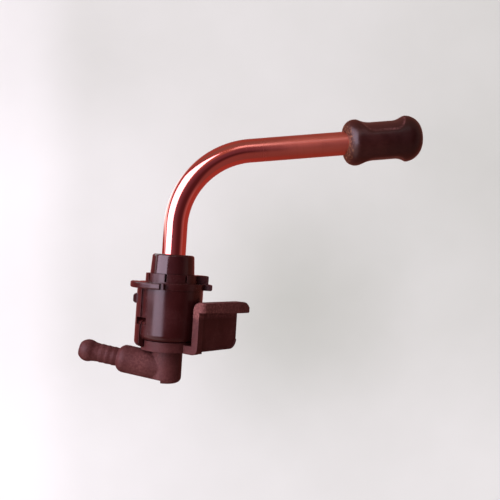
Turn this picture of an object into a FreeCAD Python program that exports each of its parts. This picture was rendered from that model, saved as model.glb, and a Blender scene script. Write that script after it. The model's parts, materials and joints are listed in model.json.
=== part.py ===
import FreeCAD, Part
import math
import os
import re
import Sketcher
from FreeCAD import Placement, Rotation, Vector

# Swivelling steam wand: a bent metal tube with a rubber grip, carried by a plastic core that turns
# in a bayonet housing, with a stop lever and a barbed hose elbow under it.
# Millimetres and degrees. The origin lies on the swivel axis, level with the underside of the two
# bayonet lugs. +Z runs up the axis to the tube and +X is the side that the tube bends to. Every
# size that ends in _turn is an angle about +Z, counted from +X.
# What fits round something else is a wall, step or gap added to it, so it follows when that changes.

sizes = {
    # Steam tube
    "tube_radius": 4.0,
    "tube_wall": 1.0,
    "tube_bend_radius": 27.6,
    "tube_bend_angle": 81.6,
    "tube_rise": 21.1,              # height where the bend starts
    "tube_arm": 55.0,               # straight run after the bend
    # Clearances
    "running_gap": 0.05,            # radial, between pieces that turn on each other
    "seat_gap": 0.03,               # radial, between pieces pushed together
    "face_gap": 0.05,               # between faces that slide on each other
    "seal_gap": 0.04,               # from a tube seal as drawn to the walls that it presses on
    "small_seal_gap": 0.01,         # the same for the two seals under 1 mm
    "wall_overlap": 0.5,            # how far a part of a moulding starts inside the wall it grows from
    "cut_past": 1.0,                # how far a cut runs past the surface that it opens
    # Swivel core, outward from the tube
    "gland_room": 1.6,              # radial room for the tube's two seals
    "gland_floor": 2.0,
    "collar_wall": 1.45,
    "collar_flare": 0.35,
    "collar_top": 11.5,
    "collar_round": 0.9,
    "throat_wall": 1.05,
    "journal_step": 0.75,
    "shoulder_gap": 0.15,
    "seat_rise": 3.55,              # from the journal's foot up to the tube's seat
    "water_radius": 2.0,
    "socket_radius": 3.5,
    "socket_depth": 5.7,
    "neck_wall": 1.1,               # from the socket to each of the neck's two flats
    "flat_depth": 0.4,
    "neck_gap": 0.15,
    "neck_step": 0.2,               # how far the neck stands out of the lever's ring
    # Housing
    "body_wall": 2.17,
    "body_depth": 16.9,
    "body_round": 2.0,
    "hub_step": 0.4,
    "lug_reach": 2.6,
    "lug_thickness": 2.0,
    "lug_sweep": 84.0,
    "lug_turn": -143.0,
    "lug_round": 0.45,
    "lead_reach": 1.6,
    "lead_sweep": 5.0,
    "finger_gap": 0.1,
    "finger_wall": 1.3,
    "finger_height": 2.9,
    "finger_root": 0.4,
    "finger_count": 8,
    "finger_slot": 0.7,
    "finger_slot_turn": -98.0,
    "lip_height": 1.2,
    "lip_slope": 0.33,
    "block_reach": 1.2,
    "block_height": 2.9,
    "block_sweep": 44.0,
    "block_turn": 22.0,
    "panel_step": 0.6,
    "panel_sweep": 76.0,
    "panel_drop": 2.3,
    "panel_round": 1.5,
    "panel_gap": 0.4,               # radial, from the turning lever to the panel round it
    "panel_room": 2.0,              # thickest sheet that fits between the lugs and the detent bump
    "bump_rise": 1.0,
    "bump_height": 3.25,
    "bump_width": 4.4,
    "bump_round": 0.9,
    "bump_curve": 1.1,
    "window_turn": -143.0,
    "window_width": 5.0,
    "window_height": 2.4,
    "window_rise": 6.2,             # from the body's foot up to the middle of its windows
    # Bearing sleeve
    "sleeve_wall": 1.05,
    "sleeve_floor": 1.5,
    "sleeve_sink": 0.8,             # from the lugs' top face down to the sleeve's top
    "hook_width": 4.4,
    "hook_inset": 0.2,
    "hook_nose": 0.8,
    "hook_drop": 0.3,
    "hook_split": 0.7,
    "washer_thickness": 0.6,
    "washer_inset": 0.2,
    "swing_limit": 45.0,
    "swing_slack": 1.0,
    "swing_pocket": 0.8,
    "swing_side_gap": 0.2,
    "swing_key_sweep": 24.0,
    "swing_key_step": 0.7,
    "swing_key_width": 1.5,
    # Seals: each has the thickness of its ring of rubber, and the tube's two fill the gland
    "friction_seal": 1.1,
    "friction_seal_gap": 0.07,
    "friction_seal_rise": 2.55,
    "elbow_seal": 0.8,
    "elbow_seal_rise": 1.6,
    "nozzle_seal": 0.62,
    "seal_groove": 1.2,             # width of a seal's groove, in thicknesses of the seal
    "gland_bush_height": 2.5,
    # Wire clips
    "clip_back": 0.6,               # from the axis back to the middle of a clip's bend
    "clip_room": 0.5,               # from the legs' ends to the end of their channels
    "tube_clip_wire": 1.4,
    "tube_clip_legs": 4.4,
    "tube_clip_rise": 3.7,
    "tube_clip_groove": 0.45,
    "elbow_clip_wire": 1.1,
    "elbow_clip_legs": 2.4,
    "elbow_clip_rise": 4.3,
    "elbow_clip_groove": 0.55,
    # Stop lever, drawn along its own radius and turned to its place
    "lever_turn": -40.0,
    "lever_gap": 0.2,
    "lever_ring_height": 3.2,
    "lever_ring_floor": 1.55,
    "lever_ring_wall": 2.2,
    "recess_gap": 0.5,
    "foot_overlap": 1.2,
    "foot_drop": 0.2,
    "foot_depth": 5.0,
    "foot_height": 2.7,
    "web_gap": 1.6,
    "web_width": 2.6,
    "web_depth": 2.2,
    "web_front": -1.6,
    "flange_reach": 1.7,
    "flange_top": -3.6,
    "flange_thickness": 3.1,
    "flange_end": 17.0,
    "flange_taper": 7.3,
    "flange_tip_width": 1.8,
    "flange_tip_inset": 0.8,
    "flange_round": 1.5,
    "flange_rise": 0.25,            # how much higher and lower the flange is at its tip
    "flange_sag": 0.6,
    "tip_run": 5.0,
    "tip_drop": 2.2,
    "tip_round": 0.7,
    "plate_step": 0.6,
    "plate_thickness": 1.6,
    "plate_past": 1.0,
    "plate_corner": 3.2,
    "plate_lip": 0.3,
    "plate_lift": 1.15,             # from the foot's underside up to the plate's
    "lever_round": 2.4,
    # Snap ring under the lever
    "snap_ring_depth": 0.7,
    "snap_ring_reach": 1.3,
    "snap_ring_thickness": 0.8,
    "snap_ring_mouth": 5.4,
    # Hose elbow
    "stem_step": 0.1,
    "stem_length": 10.8,
    "stem_round": 1.8,
    "heel_reach": 1.3,              # from the axis back to the step under the arm
    "heel_height": 1.25,
    "elbow_rise": 9.6,              # degrees above level
    "arm_radius": 4.6,
    "arm_length": 14.0,
    "cone_length": 2.6,
    "barb_radius": 3.0,
    "barb_length": 8.4,
    "barb_count": 4,
    "barb_height": 0.12,
    "barb_crest": 0.62,             # share of each barb's length that rises
    "bulb_root": 3.28,
    "bulb_radius": 3.65,
    "bulb_mouth": 2.2,
    "hose_bore": 1.9,
    # Grip and nozzle, drawn along the tube's straight arm
    "grip_length": 26.45,
    "grip_end": 1.97,               # rubber left round the nozzle's tip
    "grip_wall": 3.8,
    "waist_wall": 2.4,
    "grip_near_land": 0.2,          # flat ring left round the bore at the grip's near end
    "grip_far_land": 0.7,
    "scoop_turn": 21.4,             # how far the scoops stand round towards -Y
    "scoop_middle": 13.15,
    "scoop_flat": 7.2,
    "scoop_near_round": 10.0,
    "scoop_far_round": 6.5,
    "scoop_offset": 4.6,
    "scoop_brim": 0.6,
    "nozzle_spigot": 8.0,
    "nozzle_flange": 1.6,
    "nozzle_tip": 1.35,
    "nozzle_proud": 0.6,
    "nozzle_edge": 0.4,
    "nozzle_hole": 0.6,
    "nozzle_hole_length": 2.0,
    "nozzle_hole_cone": 1.0,
}

doc = FreeCAD.newDocument("steam_wand")
sheet = doc.addObject("Spreadsheet::Sheet", "Dims")
for row, (alias, number) in enumerate(sizes.items(), start=1):
    sheet.set("A%d" % row, alias)
    sheet.set("B%d" % row, str(number))
    sheet.setAlias("B%d" % row, alias)
doc.recompute()

# Radii that several pieces share, outward from the tube and from the hose elbow's socket
gland_radius = "(tube_radius + gland_room)"
throat_radius = f"({gland_radius} + throat_wall)"
lip_radius = f"({throat_radius} + running_gap)"
journal_radius = f"({throat_radius} + journal_step)"
sleeve_bore = f"({journal_radius} + running_gap)"
sleeve_outer = f"({sleeve_bore} + sleeve_wall)"
housing_bore = f"({sleeve_outer} + seat_gap)"
finger_bore = f"({journal_radius} + finger_gap)"
finger_radius = f"({finger_bore} + finger_wall)"
body_radius = f"({housing_bore} + body_wall)"
hub_radius = f"({body_radius} + hub_step)"
panel_radius = f"({body_radius} + panel_step)"
spigot_radius = "(socket_radius - running_gap)"
neck_flat = "(socket_radius + neck_wall)"
neck_radius = f"({neck_flat} + flat_depth)"
neck_bore = f"({neck_radius} + neck_gap)"
lever_recess = f"({neck_radius} + snap_ring_reach + recess_gap)"
lever_ring_radius = f"({lever_recess} + lever_ring_wall)"
tube_clip_floor = "(tube_radius - tube_clip_groove)"
elbow_clip_floor = f"({spigot_radius} - elbow_clip_groove)"

# Levels that several pieces share, from the top down
finger_top = "(lug_thickness + finger_height)"
lip_foot = f"({finger_top} - lip_height)"
sleeve_top = "(lug_thickness - sleeve_sink)"
window_level = "(window_rise - body_depth)"
sleeve_floor_top = "(sleeve_floor - body_depth)"
journal_foot = f"({sleeve_floor_top} + washer_thickness + face_gap)"
friction_seal_level = f"({journal_foot} + friction_seal_rise)"
tube_seat = f"({journal_foot} + seat_rise)"
tube_clip_level = f"({tube_seat} + tube_clip_rise)"
lever_ring_top = "(0 - body_depth - lever_gap)"
lever_ring_foot = f"({lever_ring_top} - lever_ring_height)"
snap_ring_roof = f"({lever_ring_top} - lever_ring_floor)"
neck_foot = f"({lever_ring_foot} - neck_step)"
elbow_clip_level = f"({neck_foot} + elbow_clip_rise)"
elbow_seal_level = f"({neck_foot} + elbow_seal_rise)"
stem_foot = f"({neck_foot} - stem_length)"
elbow_level = f"({stem_foot} + arm_radius)"

# Places along the tube's straight arm
grip_hold = "(grip_length - grip_end - nozzle_flange - seat_gap)"
nozzle_end = f"(grip_length - {grip_hold} + nozzle_proud)"


def bound(text):
    """The expression that reads each size named in the text from the sheet."""
    return re.sub(r"[a-z][a-z_]*", lambda word: "Dims." + word.group()
                  if word.group() in sizes else word.group(), text)


def value(text):
    """The number that the text comes to."""
    return float(sheet.evalExpression(bound(text)))


def new_body(label):
    body = doc.addObject("PartDesign::Body", label)
    body.Label = label
    return body


def new_sketch(body, name, role, turn="0", lift="0"):
    """A sketch on one of the body's own planes. A plane through the axis can be turned about it,
    and any plane lifted off its place."""
    sketch = body.newObject("Sketcher::SketchObject", name)
    plane = [item for item in body.Origin.OriginFeatures if item.Role == role][0]
    sketch.AttachmentSupport = [(plane, "")]
    sketch.MapMode = "FlatFace"
    if lift != "0":
        sketch.setExpression("AttachmentOffset.Base.z", bound(lift))
    if turn != "0":
        sketch.AttachmentOffset = Placement(Vector(0, 0, 0), Rotation(Vector(0, 1, 0), 1))
        sketch.setExpression("AttachmentOffset.Rotation.Angle", f"({bound(turn)}) * 1 deg")
    return sketch


def bind(sketch, number, text):
    sketch.setExpression("Constraints[%d]" % number, bound(text))


def pin_point(sketch, edge, end, across, up):
    """Holds one end of an edge at a place worked out from the sheet."""
    for kind, axis, text in (("DistanceX", -2, across), ("DistanceY", -1, up)):
        if text == "0":
            sketch.addConstraint(Sketcher.Constraint("PointOnObject", edge, end, axis))
        else:
            number = sketch.addConstraint(Sketcher.Constraint(kind, -1, 1, edge, end, value(text)))
            bind(sketch, number, text)


def arc_between(start, end, radius, side):
    """The arc from start to end whose centre is on the left (1) or right (-1) of the way there."""
    chord = end - start
    middle = (start + end) * 0.5
    left = Vector(-chord.y, chord.x, 0).normalize()
    height = math.sqrt(max(radius ** 2 - (chord.Length / 2) ** 2, 0))
    centre = middle + left * (side * height)
    first = math.atan2(start.y - centre.y, start.x - centre.x)
    last = math.atan2(end.y - centre.y, end.x - centre.x)
    whole = Part.Circle(centre, Vector(0, 0, 1), radius)
    if side > 0:
        return Part.ArcOfCircle(whole, first, last)
    return Part.ArcOfCircle(whole, last, first)


def outline(sketch, points, arcs=None):
    """A closed outline through the points, straight but for the arcs: {from point: (radius, side)}."""
    arcs = arcs or {}
    places = [Vector(value(across), value(up), 0) for across, up in points]
    total = len(points)
    starts = []
    for index, place in enumerate(places):
        following = places[(index + 1) % total]
        if index in arcs:
            radius, side = arcs[index]
            sketch.addGeometry(arc_between(place, following, value(radius), side), False)
            starts.append(1 if side > 0 else 2)
        else:
            sketch.addGeometry(Part.LineSegment(place, following), False)
            starts.append(1)
    for index in range(total):
        following = (index + 1) % total
        sketch.addConstraint(Sketcher.Constraint(
            "Coincident", index, 3 - starts[index], following, starts[following]))
        pin_point(sketch, index, starts[index], *points[index])
    for index, (radius, side) in arcs.items():
        bind(sketch, sketch.addConstraint(Sketcher.Constraint("Radius", index, value(radius))), radius)
    return sketch


def circle(sketch, radius, across="0", up="0"):
    centre = Vector(value(across), value(up), 0)
    edge = sketch.addGeometry(Part.Circle(centre, Vector(0, 0, 1), value(radius)), False)
    pin_point(sketch, edge, 3, across, up)
    bind(sketch, sketch.addConstraint(Sketcher.Constraint("Radius", edge, value(radius))), radius)
    return sketch


def block(sketch, left, right, foot, top):
    """A rectangle."""
    return outline(sketch, [(left, foot), (right, foot), (right, top), (left, top)])


def volume(body):
    return body.Tip.Shape.Volume if body.Tip and not body.Tip.Shape.isNull() else 0


def feature(body, kind, name, sketch, settings, expressions):
    """Adds a feature and makes sure that it added or took away material."""
    before = volume(body)
    made = body.newObject("PartDesign::" + kind, name)
    made.Profile = sketch
    for key, setting in settings.items():
        setattr(made, key, setting)
    for key, text in expressions.items():
        made.setExpression(key, bound(text))
    doc.recompute()
    grew = volume(body) - before
    if kind in ("Pocket", "Groove") and grew > -1e-6:
        raise RuntimeError("%s cuts nothing" % name)
    if kind not in ("Pocket", "Groove") and grew < 1e-6:
        raise RuntimeError("%s adds nothing" % name)
    return made


def pad(body, name, sketch, height, side="One side", back=False):
    return feature(body, "Pad", name, sketch, {"SideType": side, "Reversed": back}, {"Length": height})


def pocket(body, name, sketch, depth, side="One side", back=False):
    return feature(body, "Pocket", name, sketch, {"SideType": side, "Reversed": back}, {"Length": depth})


def revolve(body, name, sketch, cut=False, sweep=None, axis="V_Axis"):
    settings = {"ReferenceAxis": (sketch, [axis])}
    expressions = {}
    if sweep:
        settings["Midplane"] = True
        expressions["Angle"] = sweep
    return feature(body, "Groove" if cut else "Revolution", name, sketch, settings, expressions)


def around(body, name, original, count):
    """Repeats a feature evenly round the body's own upright axis."""
    made = body.newObject("PartDesign::PolarPattern", name)
    made.Originals = [original]
    axis = [item for item in body.Origin.OriginFeatures if item.Role == "Z_Axis"][0]
    made.Axis = (axis, [""])
    made.Angle = 360
    made.setExpression("Occurrences", bound(count))
    body.Tip = made
    doc.recompute()
    return made


def pipe(body, name, section, path):
    """Carries a section along a path of three edges."""
    made = body.newObject("PartDesign::AdditivePipe", name)
    made.Profile = section
    made.Spine = (path, ["Edge1", "Edge2", "Edge3"])
    doc.recompute()
    return made


def turned(body):
    """Turns a piece to the side that the lever stands on."""
    body.Placement = Placement(Vector(0, 0, 0), Rotation(Vector(0, 0, 1), value("lever_turn")))
    return body


def bayonet_housing():
    """The fixed shell: a cup-like body with two lugs, a ring of snap fingers and a detent bump."""
    body = new_body("bayonet_housing")
    panel_inner = f"max({housing_bore}; {lever_ring_radius} + panel_gap)"
    lug_radius = f"({hub_radius} + lug_reach)"
    lead_radius = f"({hub_radius} + lead_reach)"
    block_radius = f"({hub_radius} + block_reach)"
    block_top = "(lug_thickness + block_height)"
    bump_reach = f"({panel_radius} + bump_rise)"
    bump_top = "(0 - panel_room - face_gap)"
    bump_foot = f"({bump_top} - bump_height)"
    shell = outline(new_sketch(body, "shell_profile", "XZ_Plane"), [
        (housing_bore, "-body_depth"),
        (f"{body_radius} - body_round", "-body_depth"),
        (body_radius, "body_round - body_depth"),
        (body_radius, "0"),
        (hub_radius, "0"),
        (hub_radius, "lug_thickness"),
        (finger_radius, "lug_thickness"),
        (finger_radius, finger_top),
        (lip_radius, finger_top),
        (lip_radius, lip_foot),
        (finger_bore, f"{lip_foot} - ({finger_bore} - {lip_radius}) * lip_slope"),
        (finger_bore, f"{sleeve_top} + face_gap"),
        (housing_bore, f"{sleeve_top} + face_gap"),
    ], {1: ("body_round", 1)})
    revolve(body, "shell", shell)
    panel = outline(new_sketch(body, "snap_panel_profile", "XZ_Plane", "180"), [
        (panel_inner, "-body_depth - panel_drop"),
        (f"{panel_radius} - panel_round", "-body_depth - panel_drop"),
        (panel_radius, "panel_round - body_depth - panel_drop"),
        (panel_radius, "0"),
        (f"{body_radius} - wall_overlap", "0"),
        (f"{body_radius} - wall_overlap", "body_round - body_depth"),
        (panel_inner, "body_round - body_depth"),
    ], {1: ("panel_round", 1)})
    revolve(body, "snap_panel", panel, sweep="panel_sweep")
    lug = outline(new_sketch(body, "lug_profile", "XZ_Plane", "lug_turn"), [
        (f"{hub_radius} - wall_overlap", "0"),
        (f"{lug_radius} - lug_round", "0"),
        (lug_radius, "lug_round"),
        (lug_radius, "lug_thickness - lug_round"),
        (f"{lug_radius} - lug_round", "lug_thickness"),
        (f"{hub_radius} - wall_overlap", "lug_thickness"),
    ], {1: ("lug_round", 1), 3: ("lug_round", 1)})
    first_lug = revolve(body, "lug", lug, sweep="lug_sweep")
    around(body, "lugs", first_lug, "2")
    lead = block(new_sketch(body, "lead_in_profile", "XZ_Plane", "lug_turn + lug_sweep / 2"),
                 f"{hub_radius} - wall_overlap", lead_radius, "0", "lug_thickness")
    first_lead = revolve(body, "lead_in", lead, sweep="lead_sweep * 2")
    around(body, "lead_ins", first_lead, "2")
    stop = outline(new_sketch(body, "stop_block_profile", "XZ_Plane", "block_turn"), [
        (f"{finger_radius} - wall_overlap", "lug_thickness"),
        (f"{hub_radius} - wall_overlap", "lug_thickness"),
        (f"{hub_radius} - wall_overlap", "lug_thickness / 2"),
        (block_radius, "lug_thickness / 2"),
        (block_radius, f"{block_top} - lug_round"),
        (f"{block_radius} - lug_round", block_top),
        (f"{finger_radius} - wall_overlap", block_top),
    ], {4: ("lug_round", 1)})
    revolve(body, "stop_block", stop, sweep="block_sweep")
    bump = outline(new_sketch(body, "detent_bump_profile", "XZ_Plane", "180"), [
        (f"{body_radius} - wall_overlap", bump_foot),
        (panel_radius, bump_foot),
        (bump_reach, f"{bump_foot} + bump_round"),
        (bump_reach, f"{bump_top} - bump_round"),
        (panel_radius, bump_top),
        (f"{body_radius} - wall_overlap", bump_top),
    ], {1: ("bump_curve", 1), 3: ("bump_curve", 1)})
    pad(body, "detent_bump", bump, "bump_width", side="Symmetric")
    slot = block(new_sketch(body, "finger_slot_profile", "XZ_Plane", "finger_slot_turn"),
                 f"{lip_radius} - cut_past", f"{finger_radius} + cut_past / 10",
                 "lug_thickness + finger_root", f"{finger_top} + cut_past")
    first_slot = pocket(body, "finger_slot", slot, "finger_slot", side="Symmetric")
    around(body, "finger_slots", first_slot, "finger_count")
    window = block(new_sketch(body, "snap_window_profile", "YZ_Plane", "window_turn"),
                   "-window_width / 2", "window_width / 2",
                   f"{window_level} - window_height / 2", f"{window_level} + window_height / 2")
    first_window = pocket(body, "snap_window", window, f"{panel_radius} + cut_past", back=True)
    around(body, "snap_windows", first_window, "2")
    return body


def bearing_sleeve():
    """The bush that lines the housing, held by two hooks that snap into the housing's windows."""
    body = new_body("bearing_sleeve")
    hook_reach = f"({body_radius} - hook_inset)"
    hook_root = f"({sleeve_outer} - wall_overlap)"
    hook_foot = f"({window_level} - window_height / 2)"
    hook_top = f"({window_level} + window_height / 2)"
    wall = outline(new_sketch(body, "sleeve_profile", "XZ_Plane"), [
        (neck_bore, "-body_depth"),
        (sleeve_outer, "-body_depth"),
        (sleeve_outer, sleeve_top),
        (sleeve_bore, sleeve_top),
        (sleeve_bore, sleeve_floor_top),
        (neck_bore, sleeve_floor_top),
    ])
    revolve(body, "sleeve", wall)
    hook = outline(new_sketch(body, "hook_profile", "XZ_Plane", "window_turn"), [
        (hook_root, f"{hook_foot} + face_gap"),
        (hook_reach, f"{hook_foot} + face_gap"),
        (hook_reach, f"{hook_foot} + hook_nose"),
        (sleeve_outer, f"{hook_top} - hook_drop"),
        (hook_root, f"{hook_top} - hook_drop"),
    ])
    first_hook = pad(body, "hook", hook, "hook_width", side="Symmetric")
    around(body, "hooks", first_hook, "2")
    split = block(new_sketch(body, "hook_split_profile", "XZ_Plane", "window_turn"),
                  sleeve_outer, f"{hook_reach} + cut_past",
                  f"{hook_foot} - cut_past", f"{hook_top} + cut_past")
    first_split = pocket(body, "hook_split", split, "hook_split", side="Symmetric")
    around(body, "hook_splits", first_split, "2")
    swing = block(new_sketch(body, "swing_pocket_profile", "XZ_Plane", "lever_turn + 180"),
                  f"{neck_radius} + swing_key_step - swing_side_gap",
                  f"{neck_radius} + swing_key_step + swing_key_width + swing_side_gap",
                  "-body_depth - cut_past", "swing_pocket - body_depth")
    revolve(body, "swing_pocket", swing, cut=True,
            sweep="(swing_limit + swing_slack) * 2 + swing_key_sweep")
    return body


def swivel_core():
    """The turning core: collar, snap groove, journal with its friction ring, and neck."""
    body = new_body("swivel_core")
    collar_radius = f"({gland_radius} + collar_wall)"
    collar_foot = f"({finger_top} + face_gap)"
    ring_half = "(friction_seal * seal_groove / 2)"
    ring_floor = f"({sleeve_bore} - friction_seal_gap - friction_seal)"
    groove_foot = f"({snap_ring_roof} - snap_ring_thickness - face_gap * 2)"
    shoulder = f"({lip_foot} - shoulder_gap)"
    solid = outline(new_sketch(body, "core_profile", "XZ_Plane"), [
        ("0", neck_foot),
        (neck_radius, neck_foot),
        (neck_radius, groove_foot),
        (f"{neck_radius} - snap_ring_depth", groove_foot),
        (f"{neck_radius} - snap_ring_depth", snap_ring_roof),
        (neck_radius, snap_ring_roof),
        (neck_radius, journal_foot),
        (journal_radius, journal_foot),
        (journal_radius, f"{friction_seal_level} - {ring_half}"),
        (ring_floor, f"{friction_seal_level} - {ring_half}"),
        (ring_floor, f"{friction_seal_level} + {ring_half}"),
        (journal_radius, f"{friction_seal_level} + {ring_half}"),
        (journal_radius, f"{shoulder} - ({journal_radius} - {lip_radius}) * lip_slope"),
        (throat_radius, shoulder),
        (throat_radius, collar_foot),
        (f"{collar_radius} + collar_flare", collar_foot),
        (collar_radius, "collar_top - collar_round"),
        (f"{collar_radius} - collar_round", "collar_top"),
        ("0", "collar_top"),
    ], {16: ("collar_round", 1)})
    revolve(body, "core", solid)
    passage = outline(new_sketch(body, "passage_profile", "XZ_Plane"), [
        ("0", f"{neck_foot} - cut_past"),
        ("socket_radius", f"{neck_foot} - cut_past"),
        ("socket_radius", f"{neck_foot} + socket_depth"),
        ("water_radius", f"{neck_foot} + socket_depth"),
        ("water_radius", tube_seat),
        ("tube_radius + seat_gap", tube_seat),
        ("tube_radius + seat_gap", "gland_floor"),
        (gland_radius, "gland_floor"),
        (gland_radius, "collar_top + cut_past"),
        ("0", "collar_top + cut_past"),
    ])
    revolve(body, "passage", passage, cut=True)
    clip_slots(body, "tube_clip", tube_clip_level, tube_clip_floor, journal_radius)
    clip_slots(body, "elbow_clip", elbow_clip_level, elbow_clip_floor, neck_radius)
    flat_end = f"({neck_radius} + cut_past)"
    for name, side in (("near_flat", "-"), ("far_flat", "")):
        flat = block(new_sketch(body, name + "_profile", "XY_Plane", lift=f"{neck_foot} - cut_past"),
                     side + neck_flat, side + flat_end, "-" + flat_end, flat_end)
        pocket(body, name, flat, f"{lever_ring_top} - {neck_foot} + cut_past", back=True)
    return turned(body)


def clip_slots(body, clip, level, groove_floor, reach):
    """The way in for a U-shaped wire clip: a mouth and two straight channels beside the bore."""
    inner = f"({groove_floor} - seat_gap)"
    outer = f"({groove_floor} + {clip}_wire + seat_gap)"
    mouth = f"-({reach} + cut_past)"
    end = f"{clip}_legs + clip_room"
    foot = f"{level} - {clip}_wire / 2 - seat_gap"
    slot = outline(new_sketch(body, clip + "_slot_profile", "XY_Plane", lift=foot), [
        (mouth, "-" + outer),
        (end, "-" + outer),
        (end, "-" + inner),
        ("-clip_back", "-" + inner),
        ("-clip_back", inner),
        (end, inner),
        (end, outer),
        (mouth, outer),
    ])
    pocket(body, clip + "_slot", slot, f"{clip}_wire + seat_gap * 2", back=True)


def wire_clip(clip, level, groove_floor):
    """A spring wire bent to a U, whose legs lie in the groove on both sides of a pipe."""
    body = new_body(clip)
    radius = f"({groove_floor} + {clip}_wire / 2)"
    legs = f"{clip}_legs"
    path = new_sketch(body, "bend_line", "XY_Plane", lift=level)
    back = Vector(value("-clip_back"), 0, 0)
    beside = Vector(0, value(radius), 0)
    reach = Vector(value(legs), 0, 0)
    path.addGeometry(Part.LineSegment(reach + beside, back + beside), False)
    path.addGeometry(Part.ArcOfCircle(Part.Circle(back, Vector(0, 0, 1), beside.y),
                                      math.pi / 2, math.pi * 3 / 2), False)
    path.addGeometry(Part.LineSegment(back - beside, reach - beside), False)
    path.addConstraint(Sketcher.Constraint("Tangent", 0, 2, 1, 1))
    path.addConstraint(Sketcher.Constraint("Tangent", 1, 2, 2, 1))
    path.addConstraint(Sketcher.Constraint("Horizontal", 0))
    path.addConstraint(Sketcher.Constraint("Horizontal", 2))
    pin_point(path, 1, 3, "-clip_back", "0")
    pin_point(path, 0, 1, legs, radius)
    bind(path, path.addConstraint(Sketcher.Constraint("DistanceX", -1, 1, 2, 2, reach.x)), legs)
    section = new_sketch(body, "wire_section", "YZ_Plane", lift=legs)
    circle(section, f"{clip}_wire / 2", radius, level)
    pipe(body, "wire", section, path)
    return turned(body)


def seal_ring(label, middle, thickness, level):
    """An O-ring pressed into its groove, which gives its rubber an eight-sided section."""
    body = new_body(label)
    half = f"({thickness} / 2)"
    flat = f"({thickness} / 2 * {math.tan(math.pi / 8):.4f})"
    corners = [("-" + half, "-" + flat), ("-" + flat, "-" + half), (flat, "-" + half), (half, "-" + flat),
               (half, flat), (flat, half), ("-" + flat, half), ("-" + half, flat)]
    section = [(f"{middle} + {across}", f"{level} + {up}") for across, up in corners]
    revolve(body, "ring", outline(new_sketch(body, "ring_section", "XZ_Plane"), section))
    return body


def turned_ring(label, inner, outer, foot, top):
    """A plain ring turned about the axis."""
    body = new_body(label)
    revolve(body, "ring", block(new_sketch(body, "ring_profile", "XZ_Plane"), inner, outer, foot, top))
    return body


def steam_tube():
    """The bent tube, with a rolled groove near its foot for the wire clip."""
    body = new_body("steam_tube")
    path = new_sketch(body, "centre_line", "XZ_Plane")
    bend = value("tube_bend_radius")
    turn = math.radians(value("tube_bend_angle"))
    foot = f"{tube_seat} + face_gap"
    rise = value("tube_rise")
    middle = Vector(bend, rise, 0)
    bend_end = middle + Vector(-math.cos(turn), math.sin(turn), 0) * bend
    tip = bend_end + Vector(math.sin(turn), math.cos(turn), 0) * value("tube_arm")
    path.addGeometry(Part.LineSegment(Vector(0, value(foot), 0), Vector(0, rise, 0)), False)
    path.addGeometry(Part.ArcOfCircle(Part.Circle(middle, Vector(0, 0, 1), bend),
                                      math.pi - turn, math.pi), False)
    path.addGeometry(Part.LineSegment(bend_end, tip), False)
    path.addConstraint(Sketcher.Constraint("Tangent", 0, 2, 1, 2))
    path.addConstraint(Sketcher.Constraint("Tangent", 1, 1, 2, 1))
    pin_point(path, 0, 1, "0", foot)
    pin_point(path, 0, 2, "0", "tube_rise")
    for kind, edge, text in (("Radius", 1, "tube_bend_radius"), ("Distance", 2, "tube_arm")):
        bind(path, path.addConstraint(Sketcher.Constraint(kind, edge, value(text))), text)
    slope = path.addConstraint(Sketcher.Constraint("Angle", 2, math.pi / 2 - turn))
    bind(path, slope, "(90 - tube_bend_angle) * 1 deg")
    section = new_sketch(body, "tube_section", "XY_Plane", lift=foot)
    circle(section, "tube_radius")
    circle(section, "tube_radius - tube_wall")
    pipe(body, "tube", section, path)
    groove_half = "(tube_clip_wire / 2 + seat_gap)"
    groove = block(new_sketch(body, "clip_groove_profile", "XZ_Plane"),
                   tube_clip_floor, "tube_radius + cut_past",
                   f"{tube_clip_level} - {groove_half}", f"{tube_clip_level} + {groove_half}")
    revolve(body, "clip_groove", groove, cut=True)
    return body


def on_arm(body, distance, turn="0"):
    """Moves a piece drawn about its own upright axis to a place along the tube's straight arm."""
    bend = value("tube_bend_radius")
    slope = math.radians(value("tube_bend_angle"))
    along = Vector(math.sin(slope), 0, math.cos(slope))
    bend_end = Vector(bend * (1 - math.cos(slope)), 0, value("tube_rise") + bend * math.sin(slope))
    tilt = Rotation(Vector(0, 1, 0), value("tube_bend_angle"))
    body.Placement = Placement(bend_end + along * value(distance),
                               tilt * Rotation(Vector(0, 0, 1), value(turn)))
    return body


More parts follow.
